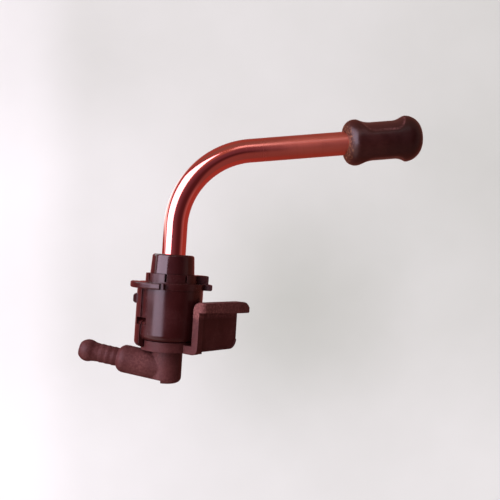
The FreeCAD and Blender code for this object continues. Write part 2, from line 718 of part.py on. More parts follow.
def rubber_grip():
    """The rubber grip: a round sleeve with a domed end and two finger scoops, one above and one below."""
    body = new_body("rubber_grip")
    bore = "(tube_radius + seat_gap)"
    tip_bore = "(nozzle_tip + seat_gap)"
    grip_radius = "(tube_radius + grip_wall)"
    near_round = "(grip_wall - seat_gap - grip_near_land)"
    far_round = f"({grip_radius} - {tip_bore} - grip_far_land)"
    cavity = f"{grip_hold} + nozzle_flange + seat_gap"
    sleeve = outline(new_sketch(body, "grip_profile", "XZ_Plane"), [
        (bore, "0"),
        (f"{bore} + grip_near_land", "0"),
        (grip_radius, near_round),
        (grip_radius, f"grip_length - {far_round}"),
        (f"{tip_bore} + grip_far_land", "grip_length"),
        (tip_bore, "grip_length"),
        (tip_bore, cavity),
        (bore, cavity),
    ], {1: (near_round, 1), 3: (far_round, 1)})
    revolve(body, "grip", sleeve)
    waist = "(tube_radius + waist_wall + scoop_offset)"
    brim = f"({grip_radius} + scoop_offset + scoop_brim)"
    outside = f"{brim} + grip_wall"
    near_rise = f"sqrt(scoop_near_round ^ 2 - (scoop_near_round - ({brim} - {waist})) ^ 2)"
    far_rise = f"sqrt(scoop_far_round ^ 2 - (scoop_far_round - ({brim} - {waist})) ^ 2)"
    scoop = new_sketch(body, "scoop_profile", "XZ_Plane")
    scoop.setExpression("AttachmentOffset.Base.x", bound("-scoop_offset"))
    outline(scoop, [
        (waist, "scoop_middle - scoop_flat / 2"),
        (brim, f"scoop_middle - scoop_flat / 2 - {near_rise}"),
        (outside, f"scoop_middle - scoop_flat / 2 - {near_rise}"),
        (outside, f"scoop_middle + scoop_flat / 2 + {far_rise}"),
        (brim, f"scoop_middle + scoop_flat / 2 + {far_rise}"),
        (waist, "scoop_middle + scoop_flat / 2"),
    ], {0: ("scoop_near_round", 1), 4: ("scoop_far_round", 1)})
    first_scoop = revolve(body, "scoop", scoop, cut=True)
    around(body, "scoops", first_scoop, "2")
    return on_arm(body, f"tube_arm - {grip_hold}", "scoop_turn")


def steam_nozzle():
    """The nozzle pushed into the end of the tube, whose tip stands just proud of the grip."""
    body = new_body("steam_nozzle")
    inner = "(tube_radius - tube_wall - seat_gap)"
    seal_floor = "(tube_radius - tube_wall - nozzle_seal)"
    seal_half = "(nozzle_seal * seal_groove / 2)"
    shape = outline(new_sketch(body, "nozzle_profile", "XZ_Plane"), [
        ("nozzle_hole * 2", "-nozzle_spigot"),
        (inner, "-nozzle_spigot"),
        (inner, f"-nozzle_spigot / 2 - {seal_half}"),
        (seal_floor, f"-nozzle_spigot / 2 - {seal_half}"),
        (seal_floor, f"-nozzle_spigot / 2 + {seal_half}"),
        (inner, f"-nozzle_spigot / 2 + {seal_half}"),
        (inner, "0"),
        ("tube_radius", "0"),
        ("tube_radius", "nozzle_flange"),
        ("nozzle_tip", "nozzle_flange"),
        ("nozzle_tip", f"{nozzle_end} - nozzle_edge"),
        ("nozzle_tip - nozzle_edge", nozzle_end),
        ("nozzle_hole", nozzle_end),
        ("nozzle_hole", f"{nozzle_end} - nozzle_hole_length"),
        ("nozzle_hole * 2", f"{nozzle_end} - nozzle_hole_length - nozzle_hole_cone"),
    ])
    revolve(body, "nozzle", shape)
    return on_arm(body, "tube_arm")


def stop_lever():
    """The lever on the core's neck: a ring, a foot, an upright web, a thin plate and a long flange."""
    body = new_body("stop_lever")
    foot_root = f"({lever_ring_radius} - foot_overlap)"
    foot_foot = f"({lever_ring_foot} - foot_drop)"
    foot_top = f"({foot_foot} + foot_height)"
    web_inner = f"({body_radius} + web_gap)"
    web_outer = f"({web_inner} + web_width)"
    web_back = "(web_front + web_depth)"
    flange_outer = f"({web_outer} + flange_reach)"
    flange_foot = "(flange_top - flange_thickness)"
    flange_tip = "(flange_end + flange_taper)"
    tip_inner = f"({web_inner} + flange_tip_inset)"
    tip_foot = f"({flange_foot} - flange_sag)"
    tip_top = "(flange_top + flange_rise)"
    plate_inner = f"({web_inner} + plate_step)"
    plate_outer = f"({plate_inner} + plate_thickness)"
    plate_start = f"({web_back} - wall_overlap)"
    plate_end = "(flange_end + plate_past)"
    plate_foot = f"({foot_foot} + plate_lift)"
    plate_top = f"({flange_foot} + flange_thickness / 2)"
    hub = new_sketch(body, "ring_outline", "XY_Plane", lift=lever_ring_foot)
    circle(hub, lever_ring_radius)
    pad(body, "ring", hub, "lever_ring_height")
    front = outline(new_sketch(body, "front_outline", "XZ_Plane", lift="-web_front"), [
        (foot_root, foot_foot),
        (f"{web_outer} - lever_round", foot_foot),
        (web_outer, f"{foot_foot} + lever_round"),
        (web_outer, "flange_top"),
        (f"{web_inner} + lever_round", "flange_top"),
        (web_inner, "flange_top - lever_round"),
        (web_inner, foot_top),
        (foot_root, foot_top),
    ], {1: ("lever_round", 1), 4: ("lever_round", 1)})
    pad(body, "front_web", front, "web_depth", back=True)
    foot = block(new_sketch(body, "foot_outline", "XY_Plane", lift=foot_foot),
                 foot_root, f"{web_outer} - lever_round", "web_front", "web_front + foot_depth")
    pad(body, "foot", foot, "foot_height")
    root = outline(new_sketch(body, "flange_root_outline", "XY_Plane", lift=flange_foot), [
        (f"{web_inner} + lever_round", "web_front"),
        (f"{flange_outer} - flange_round", "web_front"),
        (flange_outer, "web_front + flange_round"),
        (flange_outer, f"{web_back} + wall_overlap"),
        (f"{web_inner} + lever_round", f"{web_back} + wall_overlap"),
    ], {1: ("flange_round", 1)})
    pad(body, "flange_root", root, "flange_thickness")
    flange = outline(new_sketch(body, "flange_outline", "YZ_Plane", lift=web_inner), [
        (web_back, flange_foot),
        (f"{flange_tip} - tip_round", tip_foot),
        (flange_tip, f"{tip_foot} + tip_round"),
        (flange_tip, f"{tip_top} - tip_drop"),
        (f"{flange_tip} - tip_run", tip_top),
        (web_back, "flange_top"),
    ], {1: ("tip_round", 1), 3: ("(tip_run ^ 2 + tip_drop ^ 2) / tip_drop / 2", 1)})
    pad(body, "flange", flange, f"{flange_outer} - {web_inner}")
    for name, wall, corner, beyond in (
            ("outer", flange_outer, f"{tip_inner} + flange_tip_width", f"{flange_outer} + cut_past"),
            ("inner", web_inner, tip_inner, f"{web_inner} - cut_past")):
        plan = new_sketch(body, name + "_taper_outline", "XY_Plane", lift=f"{tip_foot} - cut_past")
        taper = outline(plan, [
            (wall, "flange_end"),
            (beyond, "flange_end"),
            (beyond, f"{flange_tip} + cut_past"),
            (corner, f"{flange_tip} + cut_past"),
            (corner, flange_tip),
        ])
        pocket(body, name + "_taper", taper, f"{tip_top} - {tip_foot} + cut_past * 2", back=True)
    plate = outline(new_sketch(body, "plate_outline", "YZ_Plane", lift=plate_inner), [
        (plate_start, plate_foot),
        (f"{plate_end} - plate_corner", plate_foot),
        (plate_end, f"{plate_foot} + plate_corner"),
        (plate_end, plate_top),
        (plate_start, plate_top),
    ], {1: ("plate_corner", 1)})
    pad(body, "plate", plate, "plate_thickness")
    lip = outline(new_sketch(body, "lip_outline", "YZ_Plane", lift=f"{plate_outer} - plate_lip"), [
        (plate_start, plate_foot),
        (f"{plate_end} - plate_corner", plate_foot),
        (plate_end, f"{plate_foot} + plate_corner"),
        (f"{plate_end} - plate_lip * 2", f"{plate_foot} + plate_corner"),
        (f"{plate_end} - plate_corner", f"{plate_foot} + plate_lip * 2"),
        (plate_start, f"{plate_foot} + plate_lip * 2"),
    ], {1: ("plate_corner", 1), 3: ("plate_corner - plate_lip * 2", -1)})
    pad(body, "lip", lip, "plate_lip * 2")
    bore = new_sketch(body, "bore_outline", "XY_Plane", lift=f"{lever_ring_foot} - cut_past")
    flat = f"({neck_flat} + seat_gap)"
    round_part = f"({neck_radius} + seat_gap)"
    half = f"sqrt({round_part} ^ 2 - {flat} ^ 2)"
    outline(bore, [(flat, "-" + half), (flat, half), ("-" + flat, half), ("-" + flat, "-" + half)],
            {1: (round_part, 1), 3: (round_part, 1)})
    pocket(body, "bore", bore, "lever_ring_height + cut_past * 2", back=True)
    recess = new_sketch(body, "recess_outline", "XY_Plane", lift=f"{foot_foot} - cut_past")
    circle(recess, lever_recess)
    pocket(body, "recess", recess, f"{snap_ring_roof} - {foot_foot} + cut_past", back=True)
    key = block(new_sketch(body, "swing_key_profile", "XZ_Plane", "180"),
                f"{neck_radius} + swing_key_step", f"{neck_radius} + swing_key_step + swing_key_width",
                f"{lever_ring_top} - wall_overlap", "swing_pocket - body_depth - face_gap * 2")
    revolve(body, "swing_key", key, sweep="swing_key_sweep")
    return turned(body)


def neck_snap_ring():
    """The open spring ring in the neck's groove, which carries the lever."""
    body = new_body("neck_snap_ring")
    ring_foot = f"{snap_ring_roof} - snap_ring_thickness - face_gap"
    ring_radius = f"({neck_radius} + snap_ring_reach)"
    plate = new_sketch(body, "snap_ring_outline", "XY_Plane", lift=ring_foot)
    circle(plate, ring_radius)
    circle(plate, f"{neck_radius} - snap_ring_depth + seat_gap")
    pad(body, "snap_ring", plate, "snap_ring_thickness")
    mouth = block(new_sketch(body, "mouth_outline", "XY_Plane", lift=f"{ring_foot} - cut_past"),
                  f"-({ring_radius} + cut_past)", "0", "-snap_ring_mouth / 2", "snap_ring_mouth / 2")
    pocket(body, "mouth", mouth, "snap_ring_thickness + cut_past * 2", back=True)
    return turned(body)


def hose_elbow():
    """The elbow: a spigot that plugs into the core, a stem, and an arm that ends in a hose barb."""
    body = new_body("hose_elbow")
    top = f"({neck_foot} + socket_depth - face_gap)"
    stem_top = f"{neck_foot} - face_gap"
    stem_radius = f"({neck_radius} + stem_step)"
    seal_half = "(elbow_seal * seal_groove / 2)"
    seal_floor = "(socket_radius - elbow_seal)"
    clip_half = "(elbow_clip_wire / 2 + seat_gap)"
    stem = outline(new_sketch(body, "stem_profile", "XZ_Plane"), [
        ("0", stem_foot),
        (f"{stem_radius} - stem_round", stem_foot),
        (stem_radius, f"{stem_foot} + stem_round"),
        (stem_radius, stem_top),
        (spigot_radius, stem_top),
        (spigot_radius, f"{elbow_seal_level} - {seal_half}"),
        (seal_floor, f"{elbow_seal_level} - {seal_half}"),
        (seal_floor, f"{elbow_seal_level} + {seal_half}"),
        (spigot_radius, f"{elbow_seal_level} + {seal_half}"),
        (spigot_radius, f"{elbow_clip_level} - {clip_half}"),
        (elbow_clip_floor, f"{elbow_clip_level} - {clip_half}"),
        (elbow_clip_floor, f"{elbow_clip_level} + {clip_half}"),
        (spigot_radius, f"{elbow_clip_level} + {clip_half}"),
        (spigot_radius, top),
        ("0", top),
    ], {1: ("stem_round", 1)})
    revolve(body, "stem", stem)
    heel = block(new_sketch(body, "heel_profile", "XZ_Plane"),
                 f"-{stem_radius} - cut_past", "-heel_reach",
                 f"{stem_foot} - cut_past", f"{stem_foot} + heel_height")
    pocket(body, "heel", heel, f"({stem_radius} + cut_past) * 2", side="Symmetric")
    shoulder = "(-arm_length - cone_length)"
    shoulder_drop = "(arm_radius - barb_radius)"
    shoulder_round = f"((cone_length ^ 2 + {shoulder_drop} ^ 2) / {shoulder_drop} / 2)"
    pitch = "(barb_length / barb_count)"
    points = [("0", "0"), ("0", "arm_radius"), ("-arm_length", "arm_radius"), (shoulder, "barb_radius")]
    for ridge in range(int(value("barb_count"))):
        start = f"{shoulder} - {pitch} * {ridge}"
        points.append((f"{start} - {pitch} * barb_crest", "barb_radius + barb_height"))
        points.append((f"{start} - {pitch}", "barb_radius"))
    points[-1] = (f"{shoulder} - barb_length", "bulb_root")
    bulb = f"({shoulder} - barb_length - sqrt(bulb_radius ^ 2 - bulb_root ^ 2))"
    end = f"({bulb} - sqrt(bulb_radius ^ 2 - bulb_mouth ^ 2))"
    points.append((end, "bulb_mouth"))
    points.append((end, "0"))
    arm = arm_sketch(body, "arm_profile")
    outline(arm, points, {2: (shoulder_round, 1), len(points) - 3: ("bulb_radius", 1)})
    revolve(body, "arm", arm, axis="H_Axis")
    bore = arm_sketch(body, "hose_bore_profile")
    block(bore, f"{end} - cut_past", "0", "0", "hose_bore")
    revolve(body, "hose_bore", bore, cut=True, axis="H_Axis")
    well = new_sketch(body, "well_outline", "XY_Plane", lift=elbow_level)
    circle(well, "water_radius")
    pocket(body, "well", well, f"{top} - {elbow_level} + cut_past", back=True)
    return body


def arm_sketch(body, name):
    """A sketch whose level line is the axis of the elbow's arm."""
    sketch = new_sketch(body, name, "XZ_Plane")
    sketch.AttachmentOffset = Placement(Vector(0, 0, 0), Rotation(Vector(0, 0, 1), -1))
    sketch.setExpression("AttachmentOffset.Base.y", bound(elbow_level))
    sketch.setExpression("AttachmentOffset.Rotation.Angle", bound("-elbow_rise * 1 deg"))
    return sketch


# The gland at the collar's top, from its floor up: seal, spacer, seal, bush
seal_middle = f"({gland_radius} - gland_room / 2)"
tube_seal = "(gland_room - seal_gap * 2)"
lower_seal = "(gland_floor + gland_room / 2)"
bush_foot = "(collar_top - gland_bush_height)"
upper_seal = f"({bush_foot} - gland_room / 2)"
gland_ring = ("tube_radius + seat_gap", f"{gland_radius} - seat_gap")
nozzle_seal_middle = "(tube_radius - tube_wall - nozzle_seal / 2)"

pieces = [
    bayonet_housing(),
    bearing_sleeve(),
    turned_ring("thrust_washer", neck_bore, f"{journal_radius} - washer_inset",
                sleeve_floor_top, f"{sleeve_floor_top} + washer_thickness"),
    swivel_core(),
    seal_ring("friction_ring", f"({sleeve_bore} - friction_seal_gap - friction_seal / 2)",
              "friction_seal", friction_seal_level),
    steam_tube(),
    seal_ring("lower_tube_seal", seal_middle, tube_seal, lower_seal),
    turned_ring("seal_spacer", *gland_ring,
                f"{lower_seal} + gland_room / 2", f"{upper_seal} - gland_room / 2"),
    seal_ring("upper_tube_seal", seal_middle, tube_seal, upper_seal),
    turned_ring("gland_bush", *gland_ring, bush_foot, "collar_top"),
    wire_clip("tube_clip", tube_clip_level, tube_clip_floor),
    rubber_grip(),
    steam_nozzle(),
    stop_lever(),
    neck_snap_ring(),
    hose_elbow(),
    seal_ring("elbow_seal_ring", "(socket_radius - elbow_seal / 2)", "(elbow_seal - small_seal_gap * 2)",
              elbow_seal_level),
    wire_clip("elbow_clip", elbow_clip_level, elbow_clip_floor),
    on_arm(seal_ring("nozzle_seal_ring", nozzle_seal_middle, "(nozzle_seal - small_seal_gap * 2)", "0"),
           "tube_arm - nozzle_spigot / 2"),
]

doc.recompute()
for item in doc.Objects:
    if "Invalid" in item.State or "Error" in item.State:
        raise RuntimeError("%s has failed" % item.Label)
for piece in pieces:
    if piece.Shape.isNull() or not piece.Shape.isValid():
        raise RuntimeError("%s has no valid shape" % piece.Label)
    if len(piece.Shape.Solids) != 1:
        raise RuntimeError("%s is %d solids" % (piece.Label, len(piece.Shape.Solids)))
os.makedirs("parts", exist_ok=True)
for piece in pieces:
    piece.Shape.exportStep(os.path.join("parts", piece.Label + ".step"))
    print("%-18s %9.2f mm3" % (piece.Label, piece.Shape.Volume))
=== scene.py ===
# Swivelling steam wand: finishes, finer meshes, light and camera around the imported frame, in metres
import json
import math

import bmesh
import bpy
import numpy as np
from mathutils import Matrix, Vector


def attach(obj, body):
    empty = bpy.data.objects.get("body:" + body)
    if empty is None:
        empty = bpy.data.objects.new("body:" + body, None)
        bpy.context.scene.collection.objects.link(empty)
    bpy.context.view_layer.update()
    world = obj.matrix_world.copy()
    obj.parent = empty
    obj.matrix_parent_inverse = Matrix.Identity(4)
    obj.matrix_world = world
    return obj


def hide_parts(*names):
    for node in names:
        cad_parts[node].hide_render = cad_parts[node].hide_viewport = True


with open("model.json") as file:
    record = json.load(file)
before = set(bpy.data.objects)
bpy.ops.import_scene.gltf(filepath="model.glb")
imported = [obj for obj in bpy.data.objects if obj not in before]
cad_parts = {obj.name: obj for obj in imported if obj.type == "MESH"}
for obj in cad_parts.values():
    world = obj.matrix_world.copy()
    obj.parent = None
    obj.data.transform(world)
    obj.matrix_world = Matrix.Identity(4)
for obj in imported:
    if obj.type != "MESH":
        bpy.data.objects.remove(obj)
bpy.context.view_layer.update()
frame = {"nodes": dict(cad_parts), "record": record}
cadNodes = frame["nodes"]
print("frame loaded:", len(cadNodes), "nodes")


# Camera
cameraView = {
    "target": (0.0256, 0, 0.014686),
    "distance": 0.2,
    "azimuth": -1.682,      # degrees, to the left of straight ahead
    "elevation": -1.306,
    "roll": 3.602,
    "lens": 42.457,         # mm
    "sensor": 36,           # mm
    "near": 0.01,
}


def viewAxes(azimuth, elevation, roll=0.0):
    # right, up and back of what looks at the object, in degrees from straight ahead, level and upright
    azimuth, elevation, roll = (math.radians(angle) for angle in (azimuth, elevation, roll))
    back = Vector((math.sin(azimuth) * math.cos(elevation), -math.cos(azimuth) * math.cos(elevation),
                   math.sin(elevation)))
    level = Vector((math.cos(azimuth), math.sin(azimuth), 0))
    upright = back.cross(level)
    right = level * math.cos(roll) + upright * math.sin(roll)
    up = upright * math.cos(roll) - level * math.sin(roll)
    return right, up, back


def setAxes(thing, right, up, back, place):
    turned = Matrix((right, up, back)).transposed().to_4x4()
    turned.translation = place
    thing.matrix_world = turned


def addObject(name, data):
    made = bpy.data.objects.new(name, data)
    bpy.context.scene.collection.objects.link(made)
    return made


viewRight, viewUp, viewBack = viewAxes(cameraView["azimuth"], cameraView["elevation"], cameraView["roll"])
viewTarget = Vector(cameraView["target"])
camera = addObject("camera", bpy.data.cameras.new("camera"))
camera.data.lens = cameraView["lens"]
camera.data.sensor_width = cameraView["sensor"]
camera.data.clip_start = cameraView["near"]
setAxes(camera, viewRight, viewUp, viewBack, viewTarget + viewBack * cameraView["distance"])
bpy.context.scene.camera = camera
print("camera set")


# Node helpers
def feed(tree, socket, value):
    # joins a socket to another one or gives it its value
    if isinstance(value, bpy.types.NodeSocket):
        tree.links.new(value, socket)
    else:
        socket.default_value = (*value, 1) if socket.type == "RGBA" else value


def addNode(tree, kind, sockets=None, **settings):
    node = tree.nodes.new(kind)
    for name, value in settings.items():
        setattr(node, name, value)
    for key, value in (sockets or {}).items():
        feed(tree, node.inputs[key], value)
    return node


def calc(tree, operation, *values, clamp=False):
    # the output of a Math node
    node = addNode(tree, "ShaderNodeMath", dict(enumerate(values)), operation=operation, use_clamp=clamp)
    return node.outputs[0]


def times(tree, first, *others):
    for other in others:
        first = calc(tree, "MULTIPLY", first, other)
    return first


def highest(tree, first, *others):
    for other in others:
        first = calc(tree, "MAXIMUM", first, other)
    return first


def calcVector(tree, operation, *values, output="Vector"):
    # an output of a Vector Math node: Vector, or Value for a length, a distance or a dot product
    node = addNode(tree, "ShaderNodeVectorMath", dict(enumerate(values)), operation=operation)
    return node.outputs[output]


def scaled(tree, value, factor):
    return addNode(tree, "ShaderNodeVectorMath", {0: value, "Scale": factor}, operation="SCALE").outputs[0]


def split(tree, value):
    return addNode(tree, "ShaderNodeSeparateXYZ", {0: value}).outputs


def remap(tree, value, fromLow, fromHigh, toLow=0.0, toHigh=1.0, smooth=True):
    # a value brought from one span to another, held at its ends
    node = addNode(tree, "ShaderNodeMapRange", {
        "Value": value, "From Min": fromLow, "From Max": fromHigh, "To Min": toLow, "To Max": toHigh,
    }, interpolation_type="SMOOTHSTEP" if smooth else "LINEAR")
    return node.outputs[0]


def areaMask(tree, directions, area):
    # 1 in an area that sets in between the two values it gives for each direction it names
    return times(tree, *(remap(tree, directions[name], *area[name]) for name in directions if name in area))


def blendColour(tree, amount, first, second):
    node = addNode(tree, "ShaderNodeMix", {0: amount, 6: first, 7: second}, data_type="RGBA")
    return node.outputs[2]


def noise(tree, place, scale, detail=2.0, roughness=0.5, distortion=0.0):
    node = addNode(tree, "ShaderNodeTexNoise", {
        "Vector": place, "Scale": scale, "Detail": detail, "Roughness": roughness, "Distortion": distortion,
    })
    return node.outputs[0]


def objectPlace(tree):
    return addNode(tree, "ShaderNodeTexCoord").outputs["Object"]


def newGroup(name, inputs, outputs):
    # a shader node group with its named inputs (name, kind, value) and outputs (name, kind)
    tree = bpy.data.node_groups.new(name, "ShaderNodeTree")
    for label, kind, value in inputs:
        socket = tree.interface.new_socket(label, in_out="INPUT", socket_type=kind)
        socket.default_value = value
    for label, kind in outputs:
        tree.interface.new_socket(label, in_out="OUTPUT", socket_type=kind)
    return tree, tree.nodes.new("NodeGroupInput").outputs, tree.nodes.new("NodeGroupOutput").inputs


def useGroup(tree, group, **values):
    # the outputs of a shared effect placed in a material, its inputs named without their spaces
    node = tree.nodes.new("ShaderNodeGroup")
    node.node_tree = group
    for socket in node.inputs:
        name = socket.name.replace(" ", "")
        name = name[0].lower() + name[1:]
        if name in values:
            feed(tree, socket, values[name])
    return node.outputs


# Shared effects
number, vector = "NodeSocketFloat", "NodeSocketVector"
effectSpans = {
    # where each mask starts and where it is full
    "patches": (0.3, 0.7),
    "edge": (0.995, 0.9),           # cosine between the rounded normal and the face's own
    "edgeBreaks": (0.35, 0.6),
    "speck": (0.24, 0.1),           # distance from the middle of its cell
    "speckPatches": (0.52, 0.66),
    "film": (0.4, 0.7),
    "scratches": (0.66, 0.72),
}
brushStretch = {
    # the first axis runs across the marks, and the noise is drawn out along the other two
    "lines": (1, 0.02, 0.02),
    "scratches": (1, 0.05, 0.05),
}


def makeGrain():
    # the fine grain of a moulded skin, and broad uneven patches under it
    tree, given, put = newGroup("mouldGrain", [("Grain Scale", number, 3000), ("Patch Scale", number, 180)],
                                [("Height", number), ("Patches", number)])
    place = objectPlace(tree)
    fine = noise(tree, place, given["Grain Scale"], detail=3, roughness=0.6)
    patches = noise(tree, place, given["Patch Scale"], detail=4, roughness=0.6, distortion=0.4)
    tree.links.new(fine, put["Height"])
    tree.links.new(remap(tree, patches, *effectSpans["patches"]), put["Patches"])
    return tree


def makeEdgeWear():
    # a mask that is 1 on outer edges, broken up along them, and the normal of edges rounded that far
    tree, given, put = newGroup("edgeWear", [("Reach", number, 0.0002), ("Breakup Scale", number, 900)],
                                [("Mask", number), ("Rounded", vector)])
    rounded = addNode(tree, "ShaderNodeBevel", {"Radius": given["Reach"]}, samples=6).outputs[0]
    normal = tree.nodes.new("ShaderNodeNewGeometry").outputs["Normal"]
    facing = calcVector(tree, "DOT_PRODUCT", rounded, normal, output="Value")
    edge = remap(tree, facing, *effectSpans["edge"])
    broken = noise(tree, objectPlace(tree), given["Breakup Scale"], detail=3)
    tree.links.new(times(tree, edge, remap(tree, broken, *effectSpans["edgeBreaks"])), put["Mask"])
    tree.links.new(rounded, put["Rounded"])
    return tree


def makeDust():
    # loose specks and a thin film, thicker in patches
    tree, given, put = newGroup("dustFilm", [("Speck Scale", number, 2500), ("Film Scale", number, 120)],
                                [("Specks", number), ("Film", number)])
    place = objectPlace(tree)
    cells = addNode(tree, "ShaderNodeTexVoronoi", {"Vector": place, "Scale": given["Speck Scale"]})
    specks = remap(tree, cells.outputs["Distance"], *effectSpans["speck"])
    patchScale = times(tree, given["Speck Scale"], 0.2)     # a patch is five cells wide
    patches = remap(tree, noise(tree, place, patchScale), *effectSpans["speckPatches"])
    tree.links.new(times(tree, specks, patches), put["Specks"])
    film = noise(tree, place, given["Film Scale"], detail=5, roughness=0.65)
    tree.links.new(remap(tree, film, *effectSpans["film"]), put["Film"])
    return tree


def makeBrushing():
    # fine lines and loose scratches that run across the first axis of the given place
    tree, given, put = newGroup("brushMarks", [("Place", vector, (0, 0, 0)), ("Line Scale", number, 9000),
                                               ("Scratch Scale", number, 1800)],
                                [("Height", number), ("Scratches", number)])
    lines = calcVector(tree, "MULTIPLY", given["Place"], brushStretch["lines"])
    fine = noise(tree, lines, given["Line Scale"], detail=2)
    loose = calcVector(tree, "MULTIPLY", given["Place"], brushStretch["scratches"])
    sharp = noise(tree, loose, given["Scratch Scale"], detail=3, distortion=0.6)
    tree.links.new(fine, put["Height"])
    tree.links.new(remap(tree, sharp, *effectSpans["scratches"]), put["Scratches"])
    return tree


mouldGrain, edgeWear, dustFilm, brushMarks = makeGrain(), makeEdgeWear(), makeDust(), makeBrushing()
print("shared effects made")


# Finishes
def newMaterial(name, roughness, metallic=0.0, specular=0.5):
    # a material with its Principled shader, whose plain numbers are set on its own sockets
    made = bpy.data.materials.new(name)
    made.use_nodes = True
    tree = made.node_tree
    shader = tree.nodes["Principled BSDF"]
    shader.inputs["Roughness"].default_value = roughness
    shader.inputs["Metallic"].default_value = metallic
    shader.inputs["Specular IOR Level"].default_value = specular
    return made, tree, shader


def setBump(tree, shader, height, strength, distance, normal=None):
    bump = addNode(tree, "ShaderNodeBump", {"Height": height, "Strength": strength, "Distance": distance})
    if normal:
        tree.links.new(normal, bump.inputs["Normal"])
    tree.links.new(bump.outputs[0], shader.inputs["Normal"])


plasticMarks = {
    # what every moulded plastic shares
    "patchScale": 160,
    "wearScale": 1100,
    "wornShare": 0.5,               # how far the worn colour covers an edge
    "speckScale": 2600,
    "speckShare": 2,                # specks are this much thicker than the film
    "filmScale": 140,
    "mottleScale": 1400,            # the film breaks up at this scale
    "mottleSpan": (0.40, 0.62),
    "filmShare": (0.35, 1.9),       # its thinnest and thickest, as a share of the finish's own film
    # the painted light's thinnest and thickest, broken up like the film
    "settledShare": (0.6, 1.5),
    "grainDepth": 0.00004,
}
plasticFinish = {
    "gloss_plastic": {
        "colour": (0.027, 0.0052, 0.0050), "patch": (0.033, 0.0068, 0.0065),
        "worn": (0.11, 0.05, 0.05), "dust": (0.26, 0.15, 0.14), "film": 0.016, "round": 0.00018,
        "roughness": 0.13, "uneven": 0.04, "specular": 0.5, "grain": 3500, "bump": 0.04,
    },
    "satin_plastic": {
        "colour": (0.029, 0.0058, 0.0050), "patch": (0.037, 0.0080, 0.0072),
        "worn": (0.13, 0.055, 0.05), "dust": (0.26, 0.15, 0.14), "film": 0.03, "round": 0.00020,
        "roughness": 0.21, "uneven": 0.06, "specular": 0.37, "grain": 4200, "bump": 0.10,
    },
    "bearing_plastic": {
        "colour": (0.62, 0.58, 0.50), "patch": (0.66, 0.62, 0.54),
        "worn": (0.74, 0.71, 0.66), "dust": (0.40, 0.36, 0.32), "film": 0.1, "round": 0.00015,
        "roughness": 0.42, "uneven": 0.06, "specular": 0.5, "grain": 3800, "bump": 0.08,
    },
}
matteFinish = {
    "colour": (0.049, 0.0122, 0.0105), "patch": (0.066, 0.0178, 0.0155),
    "worn": (0.14, 0.06, 0.055), "dust": (0.28, 0.13, 0.11), "film": 0.13, "round": 0.00025,
    "roughness": 0.5, "uneven": 0.08, "specular": 0.22, "grain": 4200, "bump": 0.55,
}
# painted light: lighter towards the lever's flange and round the elbow's corner, laid on as a thicker dust
# film
leverFinish = {**matteFinish, "settled": {"start": (0, 0, -0.0092), "full": (0, 0, -0.0078), "amount": 0.40}}
elbowFinish = {**matteFinish, "film": 0.10, "round": 0.0006,
               "settled": {"start": (-0.016, 0, -0.0285), "full": (-0.007, 0, -0.027), "amount": 0.08}}


def paintedLightMask(tree, settled):
    # a mask that grows from one point towards another
    start, full = Vector(settled["start"]), Vector(settled["full"])
    past = calcVector(tree, "SUBTRACT", objectPlace(tree), start)
    past = calcVector(tree, "DOT_PRODUCT", past, (full - start).normalized(), output="Value")
    return remap(tree, past, 0, (full - start).length)


def plastic(name, look):
    marks = plasticMarks
    made, tree, shader = newMaterial(name, look["roughness"], specular=look["specular"])
    grain = useGroup(tree, mouldGrain, grainScale=look["grain"], patchScale=marks["patchScale"])
    wear = useGroup(tree, edgeWear, reach=look["round"], breakupScale=marks["wearScale"])
    dust = useGroup(tree, dustFilm, speckScale=marks["speckScale"], filmScale=marks["filmScale"])
    mottled = useGroup(tree, mouldGrain, grainScale=marks["mottleScale"])["Height"]
    share = remap(tree, mottled, *marks["mottleSpan"], *marks["filmShare"], smooth=False)
    film = times(tree, dust["Film"], look["film"], share)
    # painted light: the dust film is thicker and so lighter towards the faces that catch more light
    if "settled" in look:
        share = remap(tree, mottled, *marks["mottleSpan"], *marks["settledShare"], smooth=False)
        paintedLightFilm = times(tree, paintedLightMask(tree, look["settled"]), share)
        film = calc(tree, "MULTIPLY_ADD", paintedLightFilm, look["settled"]["amount"], film)
    specks = times(tree, dust["Specks"], look["film"] * marks["speckShare"])
    colour = blendColour(tree, grain["Patches"], look["colour"], look["patch"])
    colour = blendColour(tree, times(tree, wear["Mask"], marks["wornShare"]), colour, look["worn"])
    colour = blendColour(tree, highest(tree, film, specks), colour, look["dust"])
    tree.links.new(colour, shader.inputs["Base Color"])
    rough = remap(tree, grain["Patches"], 0, 1, look["roughness"] - look["uneven"] / 2,
                  look["roughness"] + look["uneven"] / 2, smooth=False)
    tree.links.new(calc(tree, "ADD", rough, film), shader.inputs["Roughness"])
    setBump(tree, shader, grain["Height"], look["bump"], marks["grainDepth"], wear["Rounded"])
    return made


tubeFinish = {
    "colour": (0.80, 0.24, 0.20),
    "tarnish": (0.53, 0.152, 0.090),
    "lacquer": 0.6,                 # weight of the clear coat
    "mirror": 0.07,                 # roughness of the polished leg and bend
    "brushed": 0.41,                # roughness beside the grip
    "haze": (0.058, 0.092),         # metres along the tube between which the haze sets in
    "lineScale": 3600,
    "lineSpan": (0.62, 0.38),
    "linesFrom": 0.3,               # lines show from this share of the haze
    "scratchScale": 1500,
    "stainScale": 110,
    "tarnishShare": {"stains": 0.7, "lines": 0.8, "haze": 0.75},
    "roughShare": {"stains": 0.06, "scratches": 0.08},
    "polishedLines": 0.04,          # height of the lines where the haze hasn't set in
    "bump": 0.5,
    "lineDepth": 0.00003,
}


